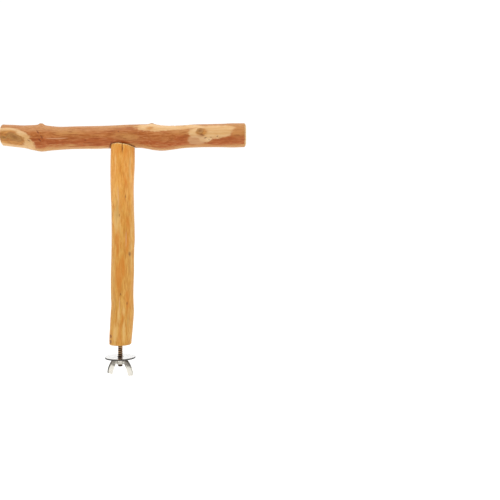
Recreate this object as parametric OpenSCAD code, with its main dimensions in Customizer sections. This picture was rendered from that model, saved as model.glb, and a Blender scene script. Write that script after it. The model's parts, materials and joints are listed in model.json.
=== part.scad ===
// Natural wood T perch for a bird cage.
// A piece of branch carries the bird and a post stands it off the cage.
// A threaded stud in the post's foot, a wide washer and a wing nut clamp it to wires or a board.
// The origin is the centre of the post's foot. Z runs up the post and X along the bar.

/* [Bar] */
// Length of the bar, end to end
bar_len = 200; // [150:1:280]
// Thickness of the bar between its swellings
bar_d = 18.6; // [16:0.1:24]
// Height of the bar's axis above the post's foot
bar_height = 170; // [110:1:240]
// Share of the bar's length that lies to the left of the stud
bar_left_share = 0.484; // [0.4:0.001:0.6]
// Edge break on the bar's sawn ends
bar_edge = 0.8; // [0.3:0.1:1.5]

/* [Post] */
// Thickness of the post at its middle
post_d = 18.7; // [16:0.1:22]
// Edge break on the post's sawn foot
post_edge = 0.6; // [0.3:0.1:1.2]

/* [Seat of the post under the bar] */
// How far the post is let into the bar's underside
seat_depth = 1.9; // [1:0.1:3.5]
// Slope of the seat, which falls towards the right
seat_tilt = 6; // [0:0.5:8]
// Gap between the post's side and the wall of its socket
socket_gap = 0.2; // [0.1:0.05:0.5]

/* [Joining screw] */
// Outer diameter of the joining screw's two wood threads
dowel_d = 4; // [3:0.1:5]
// Length of the joining screw inside the post
dowel_in_post = 22; // [15:1:35]
// Wood left in the bar above the joining screw's hole
dowel_cover = 2.7; // [2:0.1:5]
// Length of the plain waist between its two threads
dowel_waist = 4; // [2:0.5:6]

/* [Hanger bolt] */
// Outer diameter of the stud's machine thread
stud_d = 4; // [3:0.1:6]
// Length of the stud below the post's foot
stud_len = 18; // [16:0.5:30]
// Depth at which the stud enters the post
stud_sunk = 1; // [0.5:0.1:3]
// Chamfer on the stud's free end
stud_chamfer = 0.4; // [0.2:0.05:0.6]
// Length of the bolt's plain neck
neck_len = 4; // [2:0.5:8]
// Length of the bolt's wood thread
lag_len = 22; // [15:1:35]

/* [Washer] */
// Outer diameter of the washer
washer_d = 25; // [18:0.5:32]
// Thickness of the washer
washer_t = 1.2; // [0.8:0.1:2]
// Clearance of the washer's hole around the stud, on the radius
washer_gap = 0.65; // [0.3:0.05:1]
// Rounding of the washer's stamped edges
washer_edge = 0.25; // [0.1:0.05:0.35]
// Height of the washer's top face below the post's foot
washer_drop = 10; // [6:0.5:12]

/* [Wing nut] */
// Diameter of the nut's seat against the washer
nut_seat_d = 8.6; // [8:0.1:11]
// Diameter of the nut's far end
nut_end_d = 6.8; // [6:0.1:8]
// Height of the nut's hub
nut_h = 4.8; // [4:0.1:6]
// Running clearance between the nut's bore and the stud, on the radius
nut_gap = 0.05; // [0.02:0.01:0.08]
// Span over the two wings
wing_span = 23.3; // [20:0.1:32]
// Height of the wings from the nut's seat to their tips
wing_h = 13.8; // [9:0.1:16]
// Thickness of a wing
wing_t = 1.7; // [1.2:0.1:2.2]
// Width across a wing
wing_w = 4.5; // [3.6:0.1:5.5]
// Turn of the wings about the stud, right wing to the front
wing_turn = -22; // [-90:1:90]

/* [Hidden] */

// Facets of the round metal parts, and sides and rings of the two branches
round_fn = 64;
bar_sides = 28;
bar_rings = 66;
post_sides = 26;
post_rings = 48;
// Overrun of every cut
over = 1;
// Gap between parts that rest on each other
rest_gap = 0.05;

// The bar's form: share of its length, then rise, sway to the back and thickness as shares of bar_d
bar_form_shares = [
    [0.00, 0.08, 0.05, 0.950],
    [0.05, 0.04, 0.03, 0.985],
    [0.09, 0.00, 0.00, 1.020],
    [0.12, -0.03, -0.03, 1.095],
    [0.16, -0.05, -0.05, 1.150],
    [0.20, -0.06, -0.04, 1.075],
    [0.24, -0.06, -0.02, 1.015],
    [0.30, -0.03, 0.00, 1.000],
    [0.40, -0.02, 0.02, 1.005],
    [0.48, 0.01, 0.02, 1.015],
    [0.56, 0.03, 0.00, 1.025],
    [0.60, 0.00, -0.02, 1.085],
    [0.62, -0.02, -0.04, 1.130],
    [0.66, -0.06, -0.05, 1.105],
    [0.70, -0.04, -0.03, 1.055],
    [0.74, 0.00, 0.00, 1.010],
    [0.80, 0.04, 0.03, 1.005],
    [0.90, 0.06, 0.06, 1.015],
    [0.95, 0.07, 0.06, 1.050],
    [1.00, 0.08, 0.07, 1.035]
];
// The post's form: share of its height, then sway to the right and back and thickness as shares of post_d
post_form_shares = [
    [0.00, 0.000, 0.00, 0.935],
    [0.04, 0.013, 0.00, 0.968],
    [0.08, 0.037, 0.01, 0.984],
    [0.16, 0.082, 0.02, 1.000],
    [0.20, 0.089, 0.02, 0.963],
    [0.24, 0.080, 0.01, 0.973],
    [0.36, 0.099, -0.01, 1.010],
    [0.48, 0.123, -0.02, 0.989],
    [0.54, 0.137, -0.02, 1.012],
    [0.60, 0.133, -0.01, 1.016],
    [0.68, 0.108, 0.01, 1.000],
    [0.78, 0.083, 0.02, 1.016],
    [0.84, 0.087, 0.01, 1.032],
    [0.92, 0.108, 0.00, 1.062],
    [1.00, 0.118, 0.00, 1.050]
];
// Knots: share of the length, angle round the branch, height and radius as shares of its thickness
bar_knot_shares = [
    [0.163, 92, 0.085, 0.16],
    [0.615, 100, 0.050, 0.18],
    [0.165, 268, 0.030, 0.30],
    [0.048, 168, 0.020, 0.25],
    [0.600, 148, 0.025, 0.22],
    [0.815, 154, 0.025, 0.22],
    [0.380, 20, 0.040, 0.24],
    [0.860, 318, 0.035, 0.22]
];
post_knot_shares = [
    [0.455, 303, 0.020, 0.20],
    [0.300, 120, 0.035, 0.22],
    [0.720, 60, 0.030, 0.24]
];
// How far each branch is out of round, with two and with three lobes, and how far the lobes wind
bar_lobe_shares = [0.012, 0.010];
post_lobe_shares = [0.014, 0.010];
lobe_winds = [220, -300];
// The wing's root and elbow, as shares of its half span and of its height
wing_root_shares = [0.34, 0.19];
wing_elbow_shares = [0.66, 0.40];
// Width of the wing at its root, as a share of its width at the elbow and the tip
wing_root_width_share = 0.86;

// The seat's centre is where the post's own form ends
post_top_shares = post_form_shares[len(post_form_shares) - 1];
seat_x = post_d * post_top_shares[1];
seat_y = post_d * post_top_shares[2];
seat_z = bar_height - bar_d / 2 + seat_depth;
post_top_r = post_d / 2 * post_top_shares[3] * (1 + post_lobe_shares[0] + post_lobe_shares[1]);
socket_r = post_top_r + socket_gap;
// The post runs past its seat before the seat's sloping cut takes it to length
post_run = seat_z + post_d;

stud_r = stud_d / 2;
dowel_r = dowel_d / 2;
dowel_in_bar = bar_d - seat_depth - dowel_cover - dowel_r;
// The plain neck and waist are as thick as the wood threads' cores
core_share = 0.85;
neck_r = stud_r * core_share;
waist_r = dowel_r * core_share;
// Clearance of the pilot holes around neck and waist, which the threads bite into
pilot_gap = 0.05;
// Length of a wood thread's point, as a share of its radius
point_share = 1.6;

washer_top = -washer_drop;
nut_top = washer_top - washer_t - rest_gap;

// Slope of a table's column at row i, from the rows beside it
function slope(table, i, col) =
    let (a = max(i - 1, 0), b = min(i + 1, len(table) - 1))
    (table[b][col] - table[a][col]) / (table[b][0] - table[a][0]);

// The row of a table at or before share t
function row_at(table, t) =
    max([for (i = [0 : len(table) - 2]) if (table[i][0] <= t || i == 0) i]);

// A table's column at share t, as a smooth curve through its rows
function smooth(table, t, col) =
    let (
        i = row_at(table, t),
        w = table[i + 1][0] - table[i][0],
        f = (t - table[i][0]) / w,
        g = f * f * (3 - 2 * f)
    )
    table[i][col] * (1 - g) + table[i + 1][col] * g
        + slope(table, i, col) * w * f * (1 - f) * (1 - f)
        - slope(table, i + 1, col) * w * f * f * (1 - f);

// Shortest turn between two angles
function turn_between(a, b) = abs((a - b + 540) % 360 - 180);

// Height of all knots at a place on a branch of thickness d and length len
function knots(table, s, angle, d, length) =
    let (
        each_knot = [
            for (k = table)
            let (
                along = (s - k[0]) * length / d,
                round_it = turn_between(angle, k[1]) / 180 * PI / 2
            )
            d * k[2] * exp(-(along * along + round_it * round_it) / (k[3] * k[3]))
        ]
    )
    each_knot * [for (k = table) 1];

// Radius of a branch at share s and an angle
function branch_r(form, col, lobes, knot_table, s, angle, d, length) =
    d / 2 * smooth(form, s, col)
        * (1 + lobes[0] * cos(2 * angle + lobe_winds[0] * s)
            + lobes[1] * cos(3 * angle + lobe_winds[1] * s))
        + knots(knot_table, s, angle, d, length);

// A closed skin over rings of points, with a flat face at each end
module skin(rings) {
    sides = len(rings[0]);
    last = len(rings) - 1;
    points = [for (ring = rings) each ring];
    sides_faces = [
        for (i = [0 : last - 1], j = [0 : sides - 1])
        let (
            a = i * sides + j,
            b = i * sides + (j + 1) % sides
        )
        each [[a, b, b + sides], [a, b + sides, a + sides]]
    ];
    first_face = [for (j = [sides - 1 : -1 : 0]) j];
    last_face = [for (j = [0 : sides - 1]) last * sides + j];
    polyhedron(points, concat([first_face], sides_faces, [last_face]), convexity = 4);
}

// Places of the rings along a branch, as shares: a broken edge at both ends, even steps between
function ring_places(count, edge_share) = concat(
    [0],
    [for (i = [0 : count - 1]) edge_share + (1 - 2 * edge_share) * i / (count - 1)],
    [1]
);

// One ring of the bar at share s, drawn in by inset at the ends
function bar_ring(s, inset) = [
    for (j = [0 : bar_sides - 1])
    let (
        angle = 360 * j / bar_sides,
        r = branch_r(bar_form_shares, 3, bar_lobe_shares, bar_knot_shares, s, angle, bar_d, bar_len)
            - inset
    )
    [
        bar_len * (s - bar_left_share),
        bar_d * smooth(bar_form_shares, s, 2) + r * cos(angle),
        bar_height + bar_d * smooth(bar_form_shares, s, 1) + r * sin(angle)
    ]
];

// One ring of the post at share s of its seat height
function post_ring(s, z, inset) = [
    for (j = [0 : post_sides - 1])
    let (
        angle = 360 * j / post_sides,
        r = branch_r(post_form_shares, 3, post_lobe_shares, post_knot_shares, s, angle, post_d, seat_z)
            - inset
    )
    [
        post_d * smooth(post_form_shares, s, 1) + r * cos(angle),
        post_d * smooth(post_form_shares, s, 2) + r * sin(angle),
        z
    ]
];

// Everything above the sloping seat
module above_seat() {
    translate([seat_x, seat_y, seat_z])
    rotate([0, seat_tilt, 0])
    translate([-post_d, -post_d, 0])
    cube([2 * post_d, 2 * post_d, 2 * post_d]);
}

// Pilot hole for the joining screw, through the seat
module dowel_pilot() {
    translate([seat_x, seat_y, seat_z - dowel_in_post - dowel_r])
    cylinder(r = waist_r + pilot_gap, h = dowel_in_post + dowel_in_bar + 2 * dowel_r, $fn = round_fn);
}

// The branch that the bird stands on
module perch_bar() {
    edge_share = bar_edge / bar_len;
    places = ring_places(bar_rings, edge_share);
    color("#b5713c")
    difference() {
        skin([for (s = places) bar_ring(s, s == 0 || s == 1 ? bar_edge : 0)]);
        difference() {
            translate([seat_x, seat_y, seat_z - seat_depth - bar_d])
            cylinder(r = socket_r, h = seat_depth + 2 * bar_d, $fn = round_fn);
            above_seat();
        }
        dowel_pilot();
    }
}

// The upright between the cage and the bar
module post() {
    edge_share = post_edge / seat_z;
    steps = [for (i = [0 : post_rings - 1]) edge_share + (1 - edge_share) * i / (post_rings - 1)];
    foot = [post_ring(0, 0, post_edge)];
    shaft = [for (s = steps) post_ring(s, seat_z * s, 0)];
    head = [post_ring(1, post_run, 0)];
    color("#d79b4b")
    difference() {
        skin(concat(foot, shaft, head));
        above_seat();
        dowel_pilot();
        translate([0, 0, -over])
        cylinder(r = stud_r + pilot_gap, h = stud_sunk + over, $fn = round_fn);
        cylinder(r = neck_r + pilot_gap, h = stud_sunk + neck_len + lag_len + stud_r, $fn = round_fn);
    }
}

// The hidden screw with a wood thread at each end, which pulls the post up to its seat
module dowel_screw() {
    half_waist = dowel_waist / 2;
    point = dowel_r * point_share;
    color("#9a958b")
    translate([seat_x, seat_y, seat_z])
    rotate_extrude($fn = round_fn)
    polygon([
        [0, -dowel_in_post],
        [dowel_r, -dowel_in_post + point],
        [dowel_r, -half_waist],
        [waist_r, -half_waist],
        [waist_r, half_waist],
        [dowel_r, half_waist],
        [dowel_r, dowel_in_bar - point],
        [0, dowel_in_bar]
    ]);
}

// The bolt with a wood thread in the post's foot and a machine thread below it
module hanger_bolt() {
    lag_low = stud_sunk + neck_len;
    lag_top = lag_low + lag_len;
    color("#8c8172")
    rotate_extrude($fn = round_fn)
    polygon([
        [0, -stud_len],
        [stud_r - stud_chamfer, -stud_len],
        [stud_r, -stud_len + stud_chamfer],
        [stud_r, stud_sunk],
        [neck_r, stud_sunk],
        [neck_r, lag_low],
        [stud_r, lag_low],
        [stud_r, lag_top - stud_r * point_share],
        [0, lag_top]
    ]);
}

// The wide washer that spreads the clamping load
module clamp_washer() {
    hole_r = stud_r + washer_gap;
    rim_r = washer_d / 2;
    color("#dfe1e2")
    translate([0, 0, washer_top - washer_t])
    rotate_extrude($fn = 2 * round_fn)
    polygon([
        [hole_r + washer_edge, 0],
        [rim_r - washer_edge, 0],
        [rim_r, washer_edge],
        [rim_r, washer_t - washer_edge],
        [rim_r - washer_edge, washer_t],
        [hole_r + washer_edge, washer_t],
        [hole_r, washer_t - washer_edge],
        [hole_r, washer_edge]
    ]);
}

// One round place on a wing's outline, and the form that runs from one to the next
module wing_run(from, from_r, to, to_r) {
    hull() {
        translate(from)
        circle(r = from_r, $fn = round_fn / 2);
        translate(to)
        circle(r = to_r, $fn = round_fn / 2);
    }
}

// One wing, a flat ear that grows out of the hub and leans outwards and down
module wing() {
    half = wing_span / 2;
    r = wing_w / 2;
    root = [half * wing_root_shares[0], -wing_h * wing_root_shares[1]];
    elbow = [half * wing_elbow_shares[0], -wing_h * wing_elbow_shares[1]];
    tip = [half - r, -wing_h + r];
    rotate([90, 0, 0])
    translate([0, 0, -wing_t / 2])
    linear_extrude(wing_t) {
        wing_run(root, r * wing_root_width_share, elbow, r);
        wing_run(elbow, r, tip, r);
    }
}

// The wing nut, seat up, under the washer
module wing_nut() {
    color("#d5d7d8")
    translate([0, 0, nut_top])
    rotate([0, 0, wing_turn])
    difference() {
        union() {
            translate([0, 0, -nut_h])
            cylinder(r1 = nut_end_d / 2, r2 = nut_seat_d / 2, h = nut_h, $fn = round_fn);
            wing();
            mirror([1, 0, 0])
            wing();
        }
        translate([0, 0, -nut_h - wing_h])
        cylinder(r = stud_r + nut_gap, h = nut_h + wing_h + over, $fn = round_fn);
    }
}

perch_bar();
post();
dowel_screw();
hanger_bolt();
clamp_washer();
wing_nut();
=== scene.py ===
# A natural wood T perch: a branch on a post, which a stud, a washer and a wing nut clamp to a cage.
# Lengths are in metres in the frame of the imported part: Z runs up the post, X along the bar and
# -Y towards the camera. Metal pieces are built in millimetres and scaled down once at the end.

import json
import math

import bmesh
import bpy
import numpy as np
from mathutils import Color, Matrix, Vector, noise


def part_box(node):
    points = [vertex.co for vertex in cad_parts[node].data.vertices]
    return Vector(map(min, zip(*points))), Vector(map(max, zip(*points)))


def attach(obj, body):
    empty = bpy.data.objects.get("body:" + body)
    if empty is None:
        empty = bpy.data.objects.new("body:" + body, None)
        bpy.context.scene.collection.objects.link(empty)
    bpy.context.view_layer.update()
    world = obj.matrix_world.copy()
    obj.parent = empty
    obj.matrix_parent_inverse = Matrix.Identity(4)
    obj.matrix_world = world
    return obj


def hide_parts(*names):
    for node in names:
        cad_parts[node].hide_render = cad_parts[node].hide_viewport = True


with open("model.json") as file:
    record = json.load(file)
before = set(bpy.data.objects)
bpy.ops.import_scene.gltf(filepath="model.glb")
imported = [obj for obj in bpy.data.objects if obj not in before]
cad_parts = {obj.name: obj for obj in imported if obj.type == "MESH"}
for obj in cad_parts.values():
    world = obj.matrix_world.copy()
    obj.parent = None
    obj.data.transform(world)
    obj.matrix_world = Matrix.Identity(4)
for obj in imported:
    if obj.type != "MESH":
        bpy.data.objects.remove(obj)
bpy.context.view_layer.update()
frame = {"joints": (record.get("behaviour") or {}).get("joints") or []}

MM = 0.001
TURN = 2 * math.pi
QUARTER = 90
HALF_TURN = 180

# Sizes of the part: those of the branches in metres, and those of the metal pieces in millimetres
BAR_D = 18.6 * MM
POST_D = 18.7 * MM
BAR_HEIGHT = 170 * MM
SEAT_DEPTH = 1.9 * MM
SEAT_TILT = math.radians(6)
SEAT_SADDLE = 1.4 * MM
SOCKET_GAP = 0.2 * MM
LEFT_EDGE = 1.0 * MM
LEFT_REACH = 2.2 * MM
RIGHT_EDGE = 1.8 * MM
RIGHT_REACH = 4.0 * MM
POST_EDGE = 0.6 * MM
PILOT_R = 1.75 * MM
MOUTH_R = 2.05 * MM
MOUTH_DEPTH = 1.0 * MM
STUD_PITCH = 0.7
STUD_THREAD_DEPTH = 0.4
STUD_CHAMFER = 0.4
BAND_PITCH = 1.6
LAG_PITCH = 1.8
LAG_THREAD_DEPTH = 0.55
NECK_R = 1.7
NECK_LOW = 1.0
NECK_HIGH = 5.0
WAIST_HALF = 2.0
WASHER_HOLE_R = 2.65
NUT_H = 4.8
NUT_GAP = 0.05
NUT_SEAT_R = 4.3
NUT_END_R = 3.4
WING_TURN = math.radians(-22)

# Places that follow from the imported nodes
bar_lo, bar_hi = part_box("perch_bar")
bolt_lo, bolt_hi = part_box("hanger_bolt")
dowel_lo, dowel_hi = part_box("dowel_screw")
washer_lo, washer_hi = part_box("clamp_washer")
nut_lo, nut_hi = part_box("wing_nut")
BAR_LEN = bar_hi.x - bar_lo.x
SEAT = Vector(((dowel_lo.x + dowel_hi.x) / 2, 0, BAR_HEIGHT - BAR_D / 2 + SEAT_DEPTH))
BOLT_R = (bolt_hi.x - bolt_lo.x) / 2 / MM
DOWEL_R = (dowel_hi.x - dowel_lo.x) / 2 / MM
DOWEL_LOW = (dowel_lo.z - SEAT.z) / MM
DOWEL_HIGH = (dowel_hi.z - SEAT.z) / MM

# Form of the bar: share of its length, then rise, sway to the back and thickness as shares of BAR_D
BAR_FORM_SHARES = [
    [0.00, 0.08, 0.05, 0.950], [0.05, 0.04, 0.03, 0.985], [0.09, 0.00, 0.00, 1.020],
    [0.12, -0.03, -0.03, 1.095], [0.16, -0.05, -0.05, 1.150], [0.20, -0.06, -0.04, 1.075],
    [0.24, -0.06, -0.02, 1.015], [0.30, -0.03, 0.00, 1.000], [0.40, -0.02, 0.02, 1.005],
    [0.48, 0.01, 0.02, 1.015], [0.56, 0.03, 0.00, 1.025], [0.60, 0.00, -0.02, 1.085],
    [0.62, -0.02, -0.04, 1.130], [0.66, -0.06, -0.05, 1.105], [0.70, -0.04, -0.03, 1.055],
    [0.74, 0.00, 0.00, 1.010], [0.80, 0.04, 0.03, 1.005], [0.90, 0.06, 0.06, 1.015],
    [0.95, 0.07, 0.06, 1.050], [1.00, 0.08, 0.07, 1.035],
]
# Form of the post: share of its height, then sway to the right and back and thickness as shares of POST_D
POST_FORM_SHARES = [
    [0.00, 0.000, 0.00, 0.935], [0.04, 0.013, 0.00, 0.968], [0.08, 0.037, 0.01, 0.984],
    [0.16, 0.082, 0.02, 1.000], [0.20, 0.089, 0.02, 0.963], [0.24, 0.080, 0.01, 0.973],
    [0.36, 0.099, -0.01, 1.010], [0.48, 0.123, -0.02, 0.989], [0.54, 0.137, -0.02, 1.012],
    [0.60, 0.133, -0.01, 1.016], [0.68, 0.108, 0.01, 1.000], [0.78, 0.083, 0.02, 1.016],
    [0.84, 0.087, 0.01, 1.032], [0.92, 0.108, 0.00, 1.062], [1.00, 0.118, 0.00, 1.050],
]
# Knots: share of the length, angle in degrees, height and radius as shares of the thickness
BAR_KNOT_SHARES = [
    [0.163, 92, 0.080, 0.12], [0.615, 98, 0.040, 0.13], [0.165, 268, 0.030, 0.30],
    [0.048, 168, 0.020, 0.25], [0.600, 148, 0.025, 0.22], [0.815, 154, 0.025, 0.22],
    [0.380, 20, 0.040, 0.24], [0.860, 318, 0.035, 0.22],
]
POST_KNOT_SHARES = [[0.455, 303, 0.020, 0.20], [0.300, 120, 0.035, 0.22], [0.720, 60, 0.030, 0.24]]
BAR_LOBE_SHARES = [0.012, 0.010]
POST_LOBE_SHARES = [0.014, 0.010]
SOCKET_R = POST_D / 2 * POST_FORM_SHARES[-1][3] * (1 + sum(POST_LOBE_SHARES)) + SOCKET_GAP
LOBE_WINDS = [math.radians(220), math.radians(-300)]

# Marks on a branch: share of the length, angle in degrees (180 is the bar's front and 270 the post's),
# half length and half width as shares of the thickness, and tilt in degrees.
BAR_MARK_SHARES = {
    "peel": [
        [0.034, 219, 1.18, 0.68, -3], [0.616, 134, 0.66, 0.24, 0], [0.715, 118, 1.00, 0.22, -3],
        [0.860, 160, 0.98, 0.35, 2], [0.838, 188, 0.30, 0.30, 24], [0.300, 40, 0.80, 0.22, 5],
        [0.070, 330, 0.60, 0.30, 12], [0.520, 310, 0.95, 0.24, -6], [0.760, 20, 0.70, 0.30, 8],
        [0.930, 330, 0.55, 0.26, -14], [0.400, 266, 0.60, 0.10, 0],
    ],
    "amber": [
        [0.046, 199, 0.68, 0.38, -12], [0.612, 142, 0.16, 0.09, 0], [0.820, 170, 0.26, 0.20, 0],
        [0.310, 40, 0.40, 0.14, 0], [0.520, 310, 0.50, 0.15, 0], [0.760, 20, 0.40, 0.16, 0],
    ],
    "tan": [
        [0.970, 150, 0.40, 0.42, 0], [0.520, 190, 0.60, 0.20, -8], [0.745, 150, 0.70, 0.22, 0],
        [0.280, 160, 0.70, 0.16, 0], [0.660, 30, 0.90, 0.24, 0], [0.180, 20, 0.80, 0.26, 6],
        [0.930, 80, 0.60, 0.30, 0], [0.440, 110, 0.90, 0.22, -4],
    ],
    "grey": [[0.802, 208, 0.42, 0.28, 0], [0.560, 60, 0.60, 0.20, 0], [0.250, 330, 0.50, 0.20, 0]],
    "red": [
        [0.738, 205, 0.34, 0.28, 0], [0.205, 208, 0.80, 0.26, 0], [0.428, 212, 1.60, 0.24, 0],
        [0.912, 214, 0.80, 0.24, 10], [0.338, 232, 1.00, 0.18, 0], [0.644, 218, 0.90, 0.18, 0],
        [0.968, 206, 0.50, 0.26, 0], [0.450, 350, 1.20, 0.24, 0], [0.850, 350, 0.70, 0.20, 0],
    ],
    "eye": [
        [0.064, 190, 0.40, 0.17, -14], [0.814, 160, 0.16, 0.16, 0], [0.020, 196, 0.20, 0.08, 0],
        [0.380, 20, 0.20, 0.17, 0], [0.860, 318, 0.20, 0.17, 0], [0.163, 92, 0.09, 0.08, 0],
        [0.618, 99, 0.07, 0.06, 0],
    ],
    "pit": [
        [0.124, 200, 0.10, 0.030, -30], [0.162, 160, 0.12, 0.030, -50], [0.178, 182, 0.11, 0.030, -60],
        [0.170, 196, 0.10, 0.028, -40], [0.823, 181, 0.14, 0.034, -10], [0.836, 196, 0.09, 0.030, 20],
        [0.850, 206, 0.04, 0.03, 0], [0.734, 112, 0.45, 0.026, -2], [0.858, 194, 0.04, 0.03, 0],
        [0.350, 200, 0.05, 0.03, 0], [0.484, 160, 0.05, 0.03, 0], [0.884, 190, 0.06, 0.03, 30],
        [0.270, 80, 0.06, 0.03, 0], [0.540, 250, 0.07, 0.03, 0], [0.690, 300, 0.06, 0.03, 10],
        [0.120, 30, 0.06, 0.03, 0],
    ],
    "scratch": [
        [0.236, 188, 0.56, 0.030, 0], [0.640, 260, 0.40, 0.024, 3], [0.450, 70, 0.50, 0.024, -2],
    ],
}
POST_MARK_SHARES = {
    "peel": [
        [0.617, 246, 0.56, 0.20, 0], [0.146, 264, 0.28, 0.09, 0], [0.172, 290, 0.20, 0.08, 0],
        [0.082, 297, 0.46, 0.11, 2], [0.860, 322, 0.80, 0.08, 0], [0.380, 328, 2.60, 0.05, 1],
        [0.910, 246, 0.30, 0.06, 0], [0.060, 250, 0.50, 0.14, 0], [0.300, 170, 0.90, 0.14, 0],
        [0.700, 100, 1.20, 0.16, 0], [0.480, 30, 1.00, 0.12, 0], [0.180, 60, 0.80, 0.15, 0],
    ],
    "amber": [
        [0.607, 302, 0.45, 0.10, 0], [0.512, 300, 0.60, 0.12, 0], [0.336, 262, 0.75, 0.18, 0],
        [0.212, 308, 0.60, 0.14, 0], [0.130, 282, 0.35, 0.09, 0], [0.400, 282, 0.60, 0.12, 0],
        [0.830, 300, 0.60, 0.07, 0], [0.960, 262, 0.30, 0.08, 0], [0.955, 296, 0.30, 0.08, 0],
        [0.540, 250, 0.90, 0.11, 0], [0.400, 120, 1.00, 0.14, 0], [0.800, 40, 0.90, 0.12, 0],
        [0.100, 150, 0.80, 0.14, 0],
    ],
    "grey": [
        [0.420, 316, 0.80, 0.08, 0], [0.660, 248, 0.50, 0.12, 0], [0.250, 236, 0.80, 0.07, 0],
        [0.850, 314, 0.70, 0.05, 0], [0.110, 312, 0.60, 0.06, 0],
    ],
    "red": [[0.050, 276, 0.40, 0.10, 0], [0.690, 270, 0.70, 0.08, 0], [0.260, 330, 0.90, 0.08, 0]],
    "eye": [[0.457, 314, 0.10, 0.07, 0], [0.300, 120, 0.17, 0.14, 0], [0.720, 60, 0.15, 0.12, 0]],
    "pit": [
        [0.645, 262, 0.10, 0.028, 0], [0.211, 306, 0.09, 0.030, 0], [0.256, 273, 0.08, 0.026, 20],
        [0.046, 221, 0.11, 0.085, 24], [0.018, 218, 0.12, 0.110, -12], [0.740, 296, 0.10, 0.024, 0],
        [0.980, 277, 0.20, 0.024, 0], [0.500, 80, 0.10, 0.026, 0], [0.850, 150, 0.10, 0.026, 0],
    ],
    "scratch": [
        [0.530, 294, 0.50, 0.024, 1], [0.200, 266, 0.45, 0.024, -1], [0.740, 260, 0.60, 0.024, 0],
    ],
}

BROAD_MARKS = ("peel", "amber", "tan", "grey", "red")
# How far inside a broad mark its field reaches 1, in thicknesses
MARK_UNIT = 0.2

# Grid of a branch's skin
RING_STEP = 0.5 * MM
BAR_SIDES = 144
POST_SIDES = 132
EDGE_STEPS = 6
FACE_STEPS = 14

# How unevenly a sawn end's torn fibres reach up the skin, and how far they do on average, as a share
FRAY = 0.6 * MM
FRAY_MEAN = 0.6
FRAY_PERIOD = (3 * MM, 1.1 * MM, 1.1 * MM)
# How much of a rounded end edge is sawn, and over how much of it the skin begins
SAWN_PART = 0.75
SAWN_FADE = 0.5
# Where wood turns to bark in an end face, as shares of the radius
BARK_START = (0.90, 0.94)
# How far painted shade, with some dirt and torn fibres, darkens the wood beside the joint
JOINT_SHADE = 1.8 * MM

# Bark that a peeled patch has lost
BAR_BARK = 0.22 * MM
POST_BARK = 0.066 * MM
# Relief of a branch's skin: how far each kind of noise stands, and how long it is along and across
SWELL_RELIEF = 0.20 * MM
SWELL_PERIOD = (16 * MM, 6 * MM, 6 * MM)
FLUTE_RELIEF = 0.11 * MM
FLUTE_PERIOD = (45 * MM, 2.4 * MM, 2.4 * MM)
FIBRE_RELIEF = 0.055 * MM
FIBRE_PERIOD = (8 * MM, 0.95 * MM, 0.95 * MM)
# How much of the fibres a peeled patch has lost
PEELED_SMOOTH = 0.6
# Relief of the marks, and where in a mark's field each begins and is full
PEEL_FADE = (-0.10, 0.08)
PIT_RELIEF = 0.45 * MM
PIT_FADE = (0, 0.7)
SCRATCH_RELIEF = 0.14 * MM
SCRATCH_FADE = (0, 0.6)
EYE_HOLLOW_RELIEF = 0.40 * MM
EYE_HOLLOW_FADE = (0.35, 0.85)
# The rim round a knot's eye, where in the eye's field it is highest and how wide it is there
EYE_RIM_RELIEF = 0.22 * MM
EYE_RIM = 0.15
EYE_RIM_WIDTH = 0.16
# The grooves that a saw leaves on an end face
SAW_RELIEF = 0.05 * MM
SAW_PERIOD = (30 * MM, 30 * MM, 0.5 * MM)
# How ragged a mark's edge is, coarse and fine, and how much of that a small mark has
RAGGED_COARSE = 0.32
COARSE_PERIOD = (8 * MM, 2.2 * MM, 2.2 * MM)
RAGGED_FINE = 0.20
FINE_PERIOD = (2.2 * MM, 0.8 * MM, 0.8 * MM)
RAGGED_SMALL = 0.25

# The flats that a knife leaves along the post: how many, how far turned and how deep as a share
FACET_RELIEF = 0.16 * MM
FACETS = [(9, 0.2, 0.55), (7, 1.1, 0.45)]
# How far they sway round the post and how fast over its height, in radians, and their mean depth
FACET_SWAY = 0.5
FACET_WINDS = 5
FACET_MEAN = 0.64
# Cracks in the post: share, angle, length and half width in thicknesses, and depth in millimetres
POST_CRACKS = [
    [1.0, 277, 0.40, 0.024, 1.2], [1.0, 40, 0.50, 0.020, 0.9], [0.0, 130, 0.60, 0.020, 0.9],
    [0.0, 330, 0.40, 0.016, 0.6],
]
# How far a crack wanders from straight, in thicknesses, and how fast
CRACK_WANDER = 0.012
CRACK_WINDS = 9
# How finely the post's skin is divided beside a crack
CRACK_STEPS = np.radians([-3, -2.2, -1.5, -0.9, -0.4, 0, 0.4, 0.9, 1.5, 2.2, 3])


def smooth_step(value, low, high):
    """0 below low, 1 above high and a soft rise between them."""
    f = np.clip((value - low) / (high - low), 0, 1)
    return f * f * (3 - 2 * f)


def smooth_curve(places, values, at):
    """A smooth curve through values at rising places, read at other places."""
    last = len(places) - 1
    i = np.clip(np.searchsorted(places, at, side="right") - 1, 0, last - 1)
    before = np.maximum(np.arange(last + 1) - 1, 0)
    after = np.minimum(np.arange(last + 1) + 1, last)
    slopes = (values[after] - values[before]) / (places[after] - places[before])
    width = places[i + 1] - places[i]
    f = (at - places[i]) / width
    g = f * f * (3 - 2 * f)
    return (
        values[i] * (1 - g) + values[i + 1] * g
        + slopes[i] * width * f * (1 - f) ** 2 - slopes[i + 1] * width * f * f * (1 - f)
    )


def noise_at(points, period, seed):
    """Smooth noise from -1 to 1 at each point; period is how long its features are along x, y and z."""
    scaled = points / np.array(period) + np.array([seed, 2 * seed, 3 * seed])
    return np.array([noise.noise(Vector(p)) for p in scaled])


def circle(sides):
    """The angles of a circle's sides."""
    return np.arange(sides) * TURN / sides


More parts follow.
